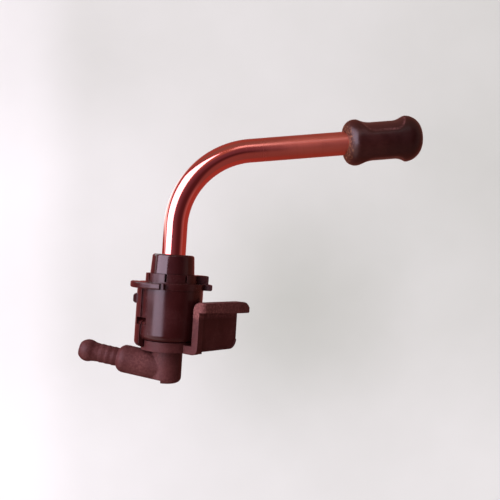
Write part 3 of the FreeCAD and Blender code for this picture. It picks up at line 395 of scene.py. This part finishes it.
def copperTube(look):
    made, tree, shader = newMaterial("copperTube", look["mirror"], metallic=1.0)
    shader.inputs["Coat Weight"].default_value = look["lacquer"]
    shader.inputs["Coat Roughness"].default_value = look["mirror"]
    run = addNode(tree, "ShaderNodeAttribute", attribute_name="tubeRun").outputs["Vector"]
    marks = useGroup(tree, brushMarks, place=run, lineScale=look["lineScale"],
                     scratchScale=look["scratchScale"])
    patches = useGroup(tree, mouldGrain, patchScale=look["stainScale"])["Patches"]
    haze = remap(tree, split(tree, run)[0], *look["haze"])
    stains = times(tree, patches, haze)
    lines = times(tree, remap(tree, marks["Height"], *look["lineSpan"]),
                  remap(tree, haze, look["linesFrom"], 1))
    share = look["tarnishShare"]
    dulled = highest(tree, times(tree, stains, share["stains"]), times(tree, lines, share["lines"]),
                     times(tree, haze, share["haze"]))
    tree.links.new(blendColour(tree, dulled, look["colour"], look["tarnish"]), shader.inputs["Base Color"])
    share = look["roughShare"]
    rough = remap(tree, haze, 0, 1, look["mirror"], look["brushed"], smooth=False)
    rough = calc(tree, "ADD", rough, times(tree, marks["Scratches"], share["scratches"]))
    rough = calc(tree, "ADD", rough, times(tree, stains, share["stains"]))
    tree.links.new(rough, shader.inputs["Roughness"])
    height = times(tree, marks["Height"], remap(tree, haze, 0, 1, look["polishedLines"], 1, smooth=False))
    setBump(tree, shader, height, look["bump"], look["lineDepth"])
    return made


rubberFinish = {
    # a span says where a mask starts and where it is full, and may add its values there
    "colour": (0.0215, 0.0050, 0.0036),
    "patch": (0.032, 0.0083, 0.0060),
    "handled": (0.0115, 0.0026, 0.0020),    # darker towards its far end
    "handledSpan": (0.009, 0.018, 0, 0.6),  # metres from its mouth, then how far the colour covers
    "worn": (0.13, 0.058, 0.052),           # rubbed crests along the scoops
    "crestSpans": ((0.10, 0.38), (0.98, 0.60)),
    "crestMottle": (0.42, 0.58, 0.35, 1.3),     # the coarse grain and the film break up the crests
    "crestFilm": (0, 1, 0.35, 0.95),
    "scoopShare": 0.10,
    "wornShare": 0.70,
    "dust": (0.27, 0.135, 0.062),
    "nearEnd": (0.0018, 0.0004),            # the dusty end face fades out between these distances
    "speckleSpan": (0.50, 0.62),
    "specklePatches": (0, 1, 0.35, 1),
    "speckles": (0.80, 0.05),               # share of the speckles, and dust between them
    "loose": 0.14,                          # share of loose specks all over
    "grainScale": 3200, "patchScale": 260, "speckScale": 2100, "filmScale": 420,
    "coarseScale": 1500, "coarsePatches": 500,
    "roughness": (0.28, 0.38),
    "dustRoughness": 0.4,
    "specular": 0.40,
    "grainShare": 0.4,
    "bump": 0.3,
    "dustDepth": 0.00007,
}


def gripRubber(look):
    made, tree, shader = newMaterial("gripRubber", sum(look["roughness"]) / 2, specular=look["specular"])
    grain = useGroup(tree, mouldGrain, grainScale=look["grainScale"], patchScale=look["patchScale"])
    coarse = useGroup(tree, mouldGrain, grainScale=look["coarseScale"], patchScale=look["coarsePatches"])
    dust = useGroup(tree, dustFilm, speckScale=look["speckScale"], filmScale=look["filmScale"])
    run = addNode(tree, "ShaderNodeAttribute", attribute_name="gripRun").outputs["Vector"]
    along, _, scooped = split(tree, run)
    colour = blendColour(tree, grain["Patches"], look["colour"], look["patch"])
    colour = blendColour(tree, remap(tree, along, *look["handledSpan"]), colour, look["handled"])
    crest = times(tree, *(remap(tree, scooped, *span) for span in look["crestSpans"]))
    mottled = times(tree, remap(tree, coarse["Height"], *look["crestMottle"]),
                    remap(tree, dust["Film"], *look["crestFilm"], smooth=False))
    rubbed = highest(tree, times(tree, crest, mottled), times(tree, scooped, look["scoopShare"]))
    colour = blendColour(tree, times(tree, rubbed, look["wornShare"]), colour, look["worn"])
    speckled = times(tree, remap(tree, coarse["Height"], *look["speckleSpan"]),
                     remap(tree, coarse["Patches"], *look["specklePatches"], smooth=False))
    dusty = times(tree, remap(tree, along, *look["nearEnd"]),
                  calc(tree, "MULTIPLY_ADD", speckled, *look["speckles"]))
    dusty = highest(tree, dusty, times(tree, dust["Specks"], look["loose"]))
    tree.links.new(blendColour(tree, dusty, colour, look["dust"]), shader.inputs["Base Color"])
    rough = remap(tree, grain["Patches"], 0, 1, *look["roughness"], smooth=False)
    rough = calc(tree, "ADD", rough, times(tree, dusty, look["dustRoughness"]))
    tree.links.new(rough, shader.inputs["Roughness"])
    height = calc(tree, "ADD", times(tree, grain["Height"], look["grainShare"]), dusty)
    setBump(tree, shader, height, look["bump"], look["dustDepth"])
    return made


turnedMarks = {"patchScale": 420, "lineScale": 7000, "patchRoughness": 0.1, "bump": 0.15, "depth": 0.00003}
turnedFinish = {
    "seal_rubber": {"colour": (0.012, 0.012, 0.012), "patch": (0.02, 0.02, 0.02),
                    "roughness": 0.5, "metallic": 0.0},
    "spring_wire": {"colour": (0.56, 0.56, 0.55), "patch": (0.48, 0.48, 0.47),
                    "roughness": 0.26, "metallic": 1.0},
    "nozzle_brass": {"colour": (0.62, 0.40, 0.16), "patch": (0.50, 0.31, 0.12),
                     "roughness": 0.28, "metallic": 1.0},
}


def turnedPart(name, look):
    # seals, wires and the nozzle: fine turning or drawing lines and an uneven tone
    made, tree, shader = newMaterial(name, look["roughness"], metallic=look["metallic"])
    patches = useGroup(tree, mouldGrain, patchScale=turnedMarks["patchScale"])["Patches"]
    marks = useGroup(tree, brushMarks, place=objectPlace(tree), lineScale=turnedMarks["lineScale"])
    tree.links.new(blendColour(tree, patches, look["colour"], look["patch"]), shader.inputs["Base Color"])
    rough = calc(tree, "ADD", look["roughness"], times(tree, patches, turnedMarks["patchRoughness"]))
    tree.links.new(rough, shader.inputs["Roughness"])
    setBump(tree, shader, marks["Height"], turnedMarks["bump"], turnedMarks["depth"])
    return made


slotFinishes = {slot: plastic(slot, look) for slot, look in plasticFinish.items()}
slotFinishes.update({slot: turnedPart(slot, look) for slot, look in turnedFinish.items()})
slotFinishes["copper_tube"] = copperTube(tubeFinish)
slotFinishes["grip_rubber"] = gripRubber(rubberFinish)
nodeFinishes = {
    "stop_lever": plastic("leverPlastic", leverFinish),
    "hose_elbow": plastic("elbowPlastic", elbowFinish),
}
for row in frame["record"]["subparts"]:
    finish = nodeFinishes.get(row["node"]) or slotFinishes[row["material_slot"]]
    cadNodes[row["node"]].material_slots[0].material = finish
print("finishes made:", len(slotFinishes) + len(nodeFinishes))


# Finer meshes
def ringMesh(name, rings, label, values):
    # a closed skin over rings of points (ring, step, 3), the last ring joined to the first, with one
    # vector for each point kept as an attribute under its label
    count, steps = rings.shape[:2]
    faces = []
    for ring in range(count):
        following = (ring + 1) % count
        for step in range(steps):
            beside = (step + 1) % steps
            faces.append((ring * steps + step, ring * steps + beside, following * steps + beside,
                          following * steps + step))
    mesh = bpy.data.meshes.new(name)
    mesh.from_pydata(rings.reshape(-1, 3).tolist(), [], faces)
    layer = mesh.attributes.new(label, "FLOAT_VECTOR", "POINT")
    layer.data.foreach_set("vector", values.astype(np.float32).ravel())
    mesh.update()
    made = bmesh.new()
    made.from_mesh(mesh)
    bmesh.ops.recalc_face_normals(made, faces=made.faces)
    made.to_mesh(mesh)
    made.free()
    return addObject(name, mesh)


def shadeByAngle(mesh, degrees):
    # smooth faces, with edges sharper than this angle kept crisp
    mesh.shade_smooth()
    mesh.set_sharp_from_angle(angle=math.radians(degrees))


def standFor(piece, node, body, finish):
    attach(piece, body)
    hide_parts(node)
    piece.data.materials.clear()
    piece.data.materials.append(finish)


tubeSize = {
    "radius": 0.004,
    "wall": 0.001,
    "foot": -0.01115,
    "rise": 0.0211,             # level at which the bend starts
    "bend": 0.0276,
    "turn": 81.6,
    "arm": 0.055,
    "grooveLevel": -0.0075,     # of the clip's groove
    "grooveHalf": 0.00046,
    "grooveDepth": 0.00045,
    "edge": 0.00012,            # rounding of the cut ends
    "steps": 96,
    "bendRings": 90,
    "armRings": 24,
    "innerSkip": 3,             # the inside has one ring to this many outside
    "sharp": 35,
}


def tubeLine(size, distance):
    # the point and the direction at a distance along the tube's centre line
    rise = size["rise"] - size["foot"]
    turn = math.radians(size["turn"])
    bendLength = size["bend"] * turn
    angle = min(max((distance - rise) / size["bend"], 0), turn)
    direction = Vector((math.sin(angle), 0, math.cos(angle)))
    place = Vector((size["bend"] * (1 - math.cos(angle)), 0, size["rise"] + size["bend"] * math.sin(angle)))
    if distance < rise:
        place.z = size["foot"] + distance
    return place + direction * max(distance - rise - bendLength, 0), direction


def tubeLength(size):
    return size["rise"] - size["foot"] + size["bend"] * math.radians(size["turn"]) + size["arm"]


def tubeProfile(size):
    # (distance along the tube, radius) from its foot over the outside and back through the bore
    rise = size["rise"] - size["foot"]
    bendEnd = rise + size["bend"] * math.radians(size["turn"])
    length = tubeLength(size)
    outer, inner, edge = size["radius"], size["radius"] - size["wall"], size["edge"]
    groove = outer - size["grooveDepth"]
    middle, half = size["grooveLevel"] - size["foot"], size["grooveHalf"]
    bend = np.linspace(rise, bendEnd, size["bendRings"])
    points = [
        (0, inner + edge), (0, outer - edge), (edge, outer),
        (middle - half, outer), (middle - half, groove), (middle + half, groove), (middle + half, outer),
        (rise, outer),
    ]
    points += [(distance, outer) for distance in bend[1:]]
    points += [(distance, outer) for distance in np.linspace(bendEnd, length - edge, size["armRings"])[1:]]
    points += [(length, outer - edge), (length, inner + edge), (length - edge, inner)]
    points += [(distance, inner) for distance in bend[::-size["innerSkip"]]]
    return points + [(rise, inner), (edge, inner)]


def steamTube(size):
    angles = np.linspace(-math.pi, math.pi, size["steps"], endpoint=False)
    front = Vector((0, -1, 0))
    rings, runs = [], []
    for distance, radius in tubeProfile(size):
        place, direction = tubeLine(size, distance)
        normals = np.outer(np.cos(angles), front) + np.outer(np.sin(angles), front.cross(direction))
        rings.append(np.array(place) + normals * radius)
        runs.append(np.stack([np.full(len(angles), distance), radius * np.cos(angles),
                              radius * np.sin(angles)], 1))
    piece = ringMesh("steamTube", np.array(rings), "tubeRun", np.array(runs))
    shadeByAngle(piece.data, size["sharp"])
    return piece


standFor(steamTube(tubeSize), "steam_tube", "wand", slotFinishes["copper_tube"])

gripSize = {
    "start": 0.03215,           # along the tube's straight arm
    "length": 0.02645,
    "radius": 0.0078,
    "bore": 0.00403,
    "tipBore": 0.00138,
    "cavity": 0.02448,          # depth of the bore from the near end
    "nearRound": 0.00357,
    "farRound": 0.00572,
    "scoopTurn": 21.4,          # degrees about the grip's own axis
    "scoopMiddle": 0.01315,
    "scoopFlat": 0.0072,
    "scoopNearRound": 0.0100,
    "scoopFarRound": 0.0065,
    "scoopOffset": 0.0046,      # the scoops' own axis stands this far behind the grip's
    "waist": 0.0064,
    "brim": 0.0084,
    "brimRise": 3,              # how much steeper the scoops rise past the brim
    "melt": 0.00035,            # how softly a scoop runs into the round form
    "crestDepth": 0.0006,       # depth of scoop over which the rubbed crest's mask grows
    "slant": 0.0009,            # how much further along the mouth starts on its front
    "slantEnds": 0.0090,
    "steps": 240,
    "nearRings": 18,
    "middleRings": 70,
    "farRings": 26,
    "sharp": 50,
}


def softLower(first, second, width):
    # the lower of two values, rounded where they meet
    share = np.clip(0.5 + 0.5 * (second - first) / width, 0, 1)
    return second * (1 - share) + first * share - width * share * (1 - share)


def gripProfile(size):
    # the outside as (distance along the grip, radius) from the bore's near edge, and the bore's own points
    length, radius, near, far = size["length"], size["radius"], size["nearRound"], size["farRound"]
    outside = [(0, size["bore"])]
    for angle in np.linspace(0, math.pi / 2, size["nearRings"]):
        outside.append((near * (1 - math.cos(angle)), radius - near + near * math.sin(angle)))
    middle = np.linspace(near, length - far, size["middleRings"])[1:-1]
    outside += [(distance, radius) for distance in middle]
    for angle in np.linspace(0, math.pi / 2, size["farRings"]):
        outside.append((length - far + far * math.sin(angle), radius - far + far * math.cos(angle)))
    inside = [(length, size["tipBore"]), (size["cavity"], size["tipBore"]), (size["cavity"], size["bore"])]
    return outside, inside


def scoopRadius(size, distance, angles):
    # how far out the two scoops leave the rubber at each angle round the grip
    past = distance - size["scoopMiddle"]
    run = abs(past) - size["scoopFlat"] / 2
    rounding = size["scoopNearRound"] if past < 0 else size["scoopFarRound"]
    offset = size["scoopOffset"]
    turned = size["waist"] + offset
    if run > 0:
        turned += rounding - math.sqrt(max(rounding ** 2 - min(run, rounding) ** 2, 0))
    brim = size["brim"] + offset
    turned = max(turned, brim + (turned - brim) * size["brimRise"])
    angles = angles - math.radians(size["scoopTurn"])
    cut = [-offset * np.cos(turn) + np.sqrt(turned ** 2 - (offset * np.sin(turn)) ** 2)
           for turn in (angles, angles + math.pi)]
    return np.minimum(*cut)


def mouthShift(size, distance, angles):
    # the grip's mouth is cut on a slant, and the shift fades out along it
    fading = min(max((size["slantEnds"] - distance) / (size["slantEnds"] - size["nearRound"]), 0), 1)
    front = np.maximum(-np.sin(angles), 0) ** 2
    return size["slant"] * front * fading * fading * (3 - 2 * fading)


def rubberGrip(size):
    turn = math.radians(tubeSize["turn"])
    start, direction = tubeLine(tubeSize, tubeLength(tubeSize) - tubeSize["arm"] + size["start"])
    down = np.array((math.cos(turn), 0, -math.sin(turn)))
    rear = np.array((0, 1.0, 0))
    angles = np.linspace(0, 2 * math.pi, size["steps"], endpoint=False)
    normals = np.outer(np.cos(angles), down) + np.outer(np.sin(angles), rear)
    outside, inside = gripProfile(size)
    rings, runs = [], []
    for index, (distance, radius) in enumerate(outside + inside):
        around = np.full(len(angles), radius)
        scooped = np.zeros(len(angles))
        if index < len(outside):
            cut = scoopRadius(size, distance, angles)
            around = softLower(around, cut, size["melt"])
            around = np.maximum(around, size["bore"] if distance < size["cavity"] else size["tipBore"])
            scooped = np.clip((radius - cut) / size["crestDepth"], 0, 1)
        along = np.outer(distance + mouthShift(size, distance, angles), direction)
        rings.append(np.array(start) + along + normals * around[:, None])
        runs.append(np.stack([np.full(len(angles), distance), angles * 0, scooped], 1))
    piece = ringMesh("rubberGrip", np.array(rings), "gripRun", np.array(runs))
    shadeByAngle(piece.data, size["sharp"])
    return piece


standFor(rubberGrip(gripSize), "rubber_grip", "wand", slotFinishes["grip_rubber"])
print("tube and grip made")


# Backdrop: a board that the camera sees, clear of the wand at both ends of its swing, and nearer to the
# object a card that only reflections and bounced light see
boardSize = {
    "half": 0.9,
    "table": 0.070,             # metres behind the camera's target
    "card": 0.0172,
}
tableLook = {
    "roughness": 0.6,
    "diffuse": 0.35,            # share of its tone that the lamps light
    "grey": (0.58, 0.620, 0.565),
    "bright": (0.97, 1.01, 0.99),
    "level": 0.22,              # from 0, grey, to 1, bright
    "uneven": 0.26,
    "unevenScale": 22,
    # painted light and shade: the board's level rises and falls across it, mostly lighter towards the window
    # on the left
    # each change of level, and the places across and upward between which it sets in
    "changes": (
        {"across": (0.010, -0.050), "amount": 0.12},
        {"across": (-0.058, -0.084), "amount": 0.30},
        {"upward": (-0.025, -0.085), "amount": 0.26},
        {"across": (0.03, 0.09), "amount": -0.10},
        {"across": (0.02, -0.09), "upward": (0.02, 0.08), "amount": -0.32},
        {"across": (0.04, 0.085), "upward": (0.03, -0.04), "amount": 0.16},
    ),
    # painted shadow: a soft darker patch beside the lever, where the object's shadow falls
    "shade": {"middle": (0.016, -0.020, 0), "reach": 0.055, "amount": -0.26},
    "far": (0.86, 0.85, 0.85),
    "fade": (0.15, 0.32),       # metres from the middle, outside the picture
}
mirroredLook = {
    # what metal and gloss see, and the places between which each tone sets in
    "right": (0.40, 0.10, 0.075),
    "left": (0.40, 0.08, 0.075),
    "leftSpan": (0.02, -0.04),
    "top": (0.40, 0.14, 0.11),
    "topSpan": (0.035, 0.06),
    "patch": (1.6, 1.8, 1.85),
    "patchSpan": (-0.012, -0.035),
    "patchFoot": (0.005, 0.016),
    "patchHead": (0.050, 0.024),
}


def tableTone(tree, place):
    look, shade = tableLook, tableLook["shade"]
    across, upward, _ = split(tree, place)
    uneven = noise(tree, place, look["unevenScale"], detail=3, roughness=0.55)
    light = calc(tree, "MULTIPLY_ADD", uneven, look["uneven"], look["level"])
    for change in look["changes"]:
        mask = areaMask(tree, {"across": across, "upward": upward}, change)
        light = calc(tree, "MULTIPLY_ADD", mask, change["amount"], light)
    apart = calcVector(tree, "DISTANCE", place, shade["middle"], output="Value")
    light = calc(tree, "MULTIPLY_ADD", remap(tree, apart, shade["reach"], 0.0), shade["amount"], light,
                 clamp=True)
    return blendColour(tree, light, look["grey"], look["bright"])


def mirroredTone(tree, place):
    look = mirroredLook
    across, upward, _ = split(tree, place)
    tone = blendColour(tree, remap(tree, across, *look["leftSpan"]), look["right"], look["left"])
    tone = blendColour(tree, remap(tree, upward, *look["topSpan"]), tone, look["top"])
    patch = times(tree, remap(tree, upward, *look["patchFoot"]), remap(tree, upward, *look["patchHead"]),
                  remap(tree, across, *look["patchSpan"]))
    return blendColour(tree, patch, tone, look["patch"])


def showFromFront(tree, shader, glow, seen):
    # the lit surface with its own glow for some rays, and nothing at all from behind
    own = addNode(tree, "ShaderNodeEmission", {"Color": glow, "Strength": seen})
    lit = addNode(tree, "ShaderNodeAddShader", {0: shader.outputs[0], 1: own.outputs[0]})
    behind = tree.nodes.new("ShaderNodeNewGeometry").outputs["Backfacing"]
    clear = tree.nodes.new("ShaderNodeBsdfTransparent")
    shown = addNode(tree, "ShaderNodeMixShader", {0: behind, 1: lit.outputs[0], 2: clear.outputs[0]})
    tree.links.new(shown.outputs[0], tree.nodes["Material Output"].inputs["Surface"])


def tableMaterial():
    # its tones are worked out at the card's distance, so that they keep their size in the picture
    look = tableLook
    made, tree, shader = newMaterial("paleTable", look["roughness"], specular=0.0)
    path = tree.nodes.new("ShaderNodeLightPath").outputs
    distance = cameraView["distance"]
    nearer = (distance + boardSize["card"]) / (distance + boardSize["table"])
    place = scaled(tree, objectPlace(tree), nearer)
    tone = tableTone(tree, place)
    middle = calcVector(tree, "LENGTH", place, output="Value")
    far = remap(tree, middle, *look["fade"])
    near = calc(tree, "SUBTRACT", 1, times(tree, far, path["Is Camera Ray"]))
    near = times(tree, near, calc(tree, "SUBTRACT", 1, path["Is Glossy Ray"]))
    base = scaled(tree, tone, times(tree, near, look["diffuse"]))
    tree.links.new(base, shader.inputs["Base Color"])
    plain = blendColour(tree, far, scaled(tree, tone, 1 - look["diffuse"]), look["far"])
    glow = blendColour(tree, path["Is Camera Ray"], mirroredTone(tree, place), plain)
    seen = highest(tree, path["Is Camera Ray"], path["Is Glossy Ray"], path["Is Transmission Ray"])
    showFromFront(tree, shader, glow, seen)
    return made


def cardMaterial():
    made, tree, shader = newMaterial("mirroredCard", tableLook["roughness"], specular=0.0)
    path = tree.nodes.new("ShaderNodeLightPath").outputs
    place = objectPlace(tree)
    share = times(tree, calc(tree, "SUBTRACT", 1, path["Is Glossy Ray"]), tableLook["diffuse"])
    tree.links.new(scaled(tree, tableTone(tree, place), share), shader.inputs["Base Color"])
    seen = highest(tree, path["Is Glossy Ray"], path["Is Transmission Ray"])
    showFromFront(tree, shader, mirroredTone(tree, place), seen)
    return made


def addBoard(name, behind, material):
    half = boardSize["half"]
    corners = [(-half, -half, 0), (half, -half, 0), (half, half, 0), (-half, half, 0)]
    mesh = bpy.data.meshes.new(name)
    mesh.from_pydata(corners, [], [(0, 1, 2, 3)])
    mesh.materials.append(material)
    board = addObject(name, mesh)
    setAxes(board, viewRight, viewUp, viewBack, viewTarget - viewBack * behind)
    return board


addBoard("table", boardSize["table"], tableMaterial())
card = addBoard("card", boardSize["card"], cardMaterial())
card.visible_camera = False
card.visible_shadow = False
print("backdrop made")


# Light: the window, the lower part of it that the lever and its plate leave free, and a soft light
# above the camera, each seen from the object at an angle from straight ahead and above level
lampLooks = {
    "windowLight": {
        "azimuth": -56, "elevation": 20.5, "distance": 0.6, "width": 0.69, "height": 0.52,
        "glow": 5.5, "colour": (1.0, 0.82, 1.03),
    },
    "sillLight": {
        "azimuth": -38, "elevation": -9, "distance": 0.6, "width": 0.39, "height": 0.14,
        "glow": 5.5, "colour": (1.0, 0.82, 1.03),
    },
    "upperLight": {
        "azimuth": 3, "elevation": 41, "distance": 0.6, "width": 0.24, "height": 0.18,
        "glow": 1.2, "colour": (0.95, 0.95, 1.0),
    },
}


def addLamp(name, look):
    lamp = bpy.data.lights.new(name, "AREA")
    lamp.shape = "RECTANGLE"
    lamp.size, lamp.size_y = look["width"], look["height"]
    lamp.energy = look["glow"] * math.pi * look["width"] * look["height"]
    lamp.color = look["colour"]
    light = addObject(name, lamp)
    right, up, back = viewAxes(look["azimuth"], look["elevation"])
    setAxes(light, right, up, back, viewTarget + back * look["distance"])
    light.visible_camera = False


for lampName, lampLook in lampLooks.items():
    addLamp(lampName, lampLook)

roomLook = {
    "dim": (0.09, 0.03, 0.036),
    # a direction's parts run from -1 to 1: across to the right, depth away from the camera, and upward
    "areas": (
        {"across": (0.6, -0.4), "upward": (-0.28, -0.05), "colour": (0.26, 0.13, 0.18)},   # by the window
        {"depth": (-0.65, -0.12), "across": (0.2, 0.6), "colour": (0.46, 0.22, 0.21)},
        {"upward": (0.55, 0.85), "colour": (0.31, 0.20, 0.17)},
        {"upward": (-0.35, -0.6), "colour": (0.27, 0.12, 0.11)},
    ),
    # round glows, which start and are full at these cosines from their middle
    "glows": (
        {"middle": (-0.35, -0.80, 0.50), "cosines": (0.90, 0.99), "colour": (0.50, 0.25, 0.18)},
        {"middle": (-0.70, -0.30, -0.65), "cosines": (0.72, 0.95), "colour": (1.3, 0.95, 0.95)},
    ),
    "pale": (0.86, 0.85, 0.85),     # what the camera sees, and all that lies behind the object
    "paleDepth": (0.0, 0.35),
}


def makeRoom(look):
    world = bpy.data.worlds.new("room")
    bpy.context.scene.world = world
    world.use_nodes = True
    tree = world.node_tree
    direction = addNode(tree, "ShaderNodeTexCoord").outputs["Generated"]
    across, depth, upward = split(tree, direction)
    colour = look["dim"]
    for area in look["areas"]:
        mask = areaMask(tree, {"depth": depth, "across": across, "upward": upward}, area)
        colour = blendColour(tree, mask, colour, area["colour"])
    for glow in look["glows"]:
        middle = Vector(glow["middle"]).normalized()
        towards = calcVector(tree, "DOT_PRODUCT", direction, middle, output="Value")
        colour = blendColour(tree, remap(tree, towards, *glow["cosines"]), colour, glow["colour"])
    colour = blendColour(tree, remap(tree, depth, *look["paleDepth"]), colour, look["pale"])
    seen = tree.nodes.new("ShaderNodeLightPath").outputs["Is Camera Ray"]
    colour = blendColour(tree, seen, colour, look["pale"])
    tree.links.new(colour, tree.nodes["Background"].inputs["Color"])


makeRoom(roomLook)
bpy.context.scene.view_settings.view_transform = "Standard"
print("light and room set")
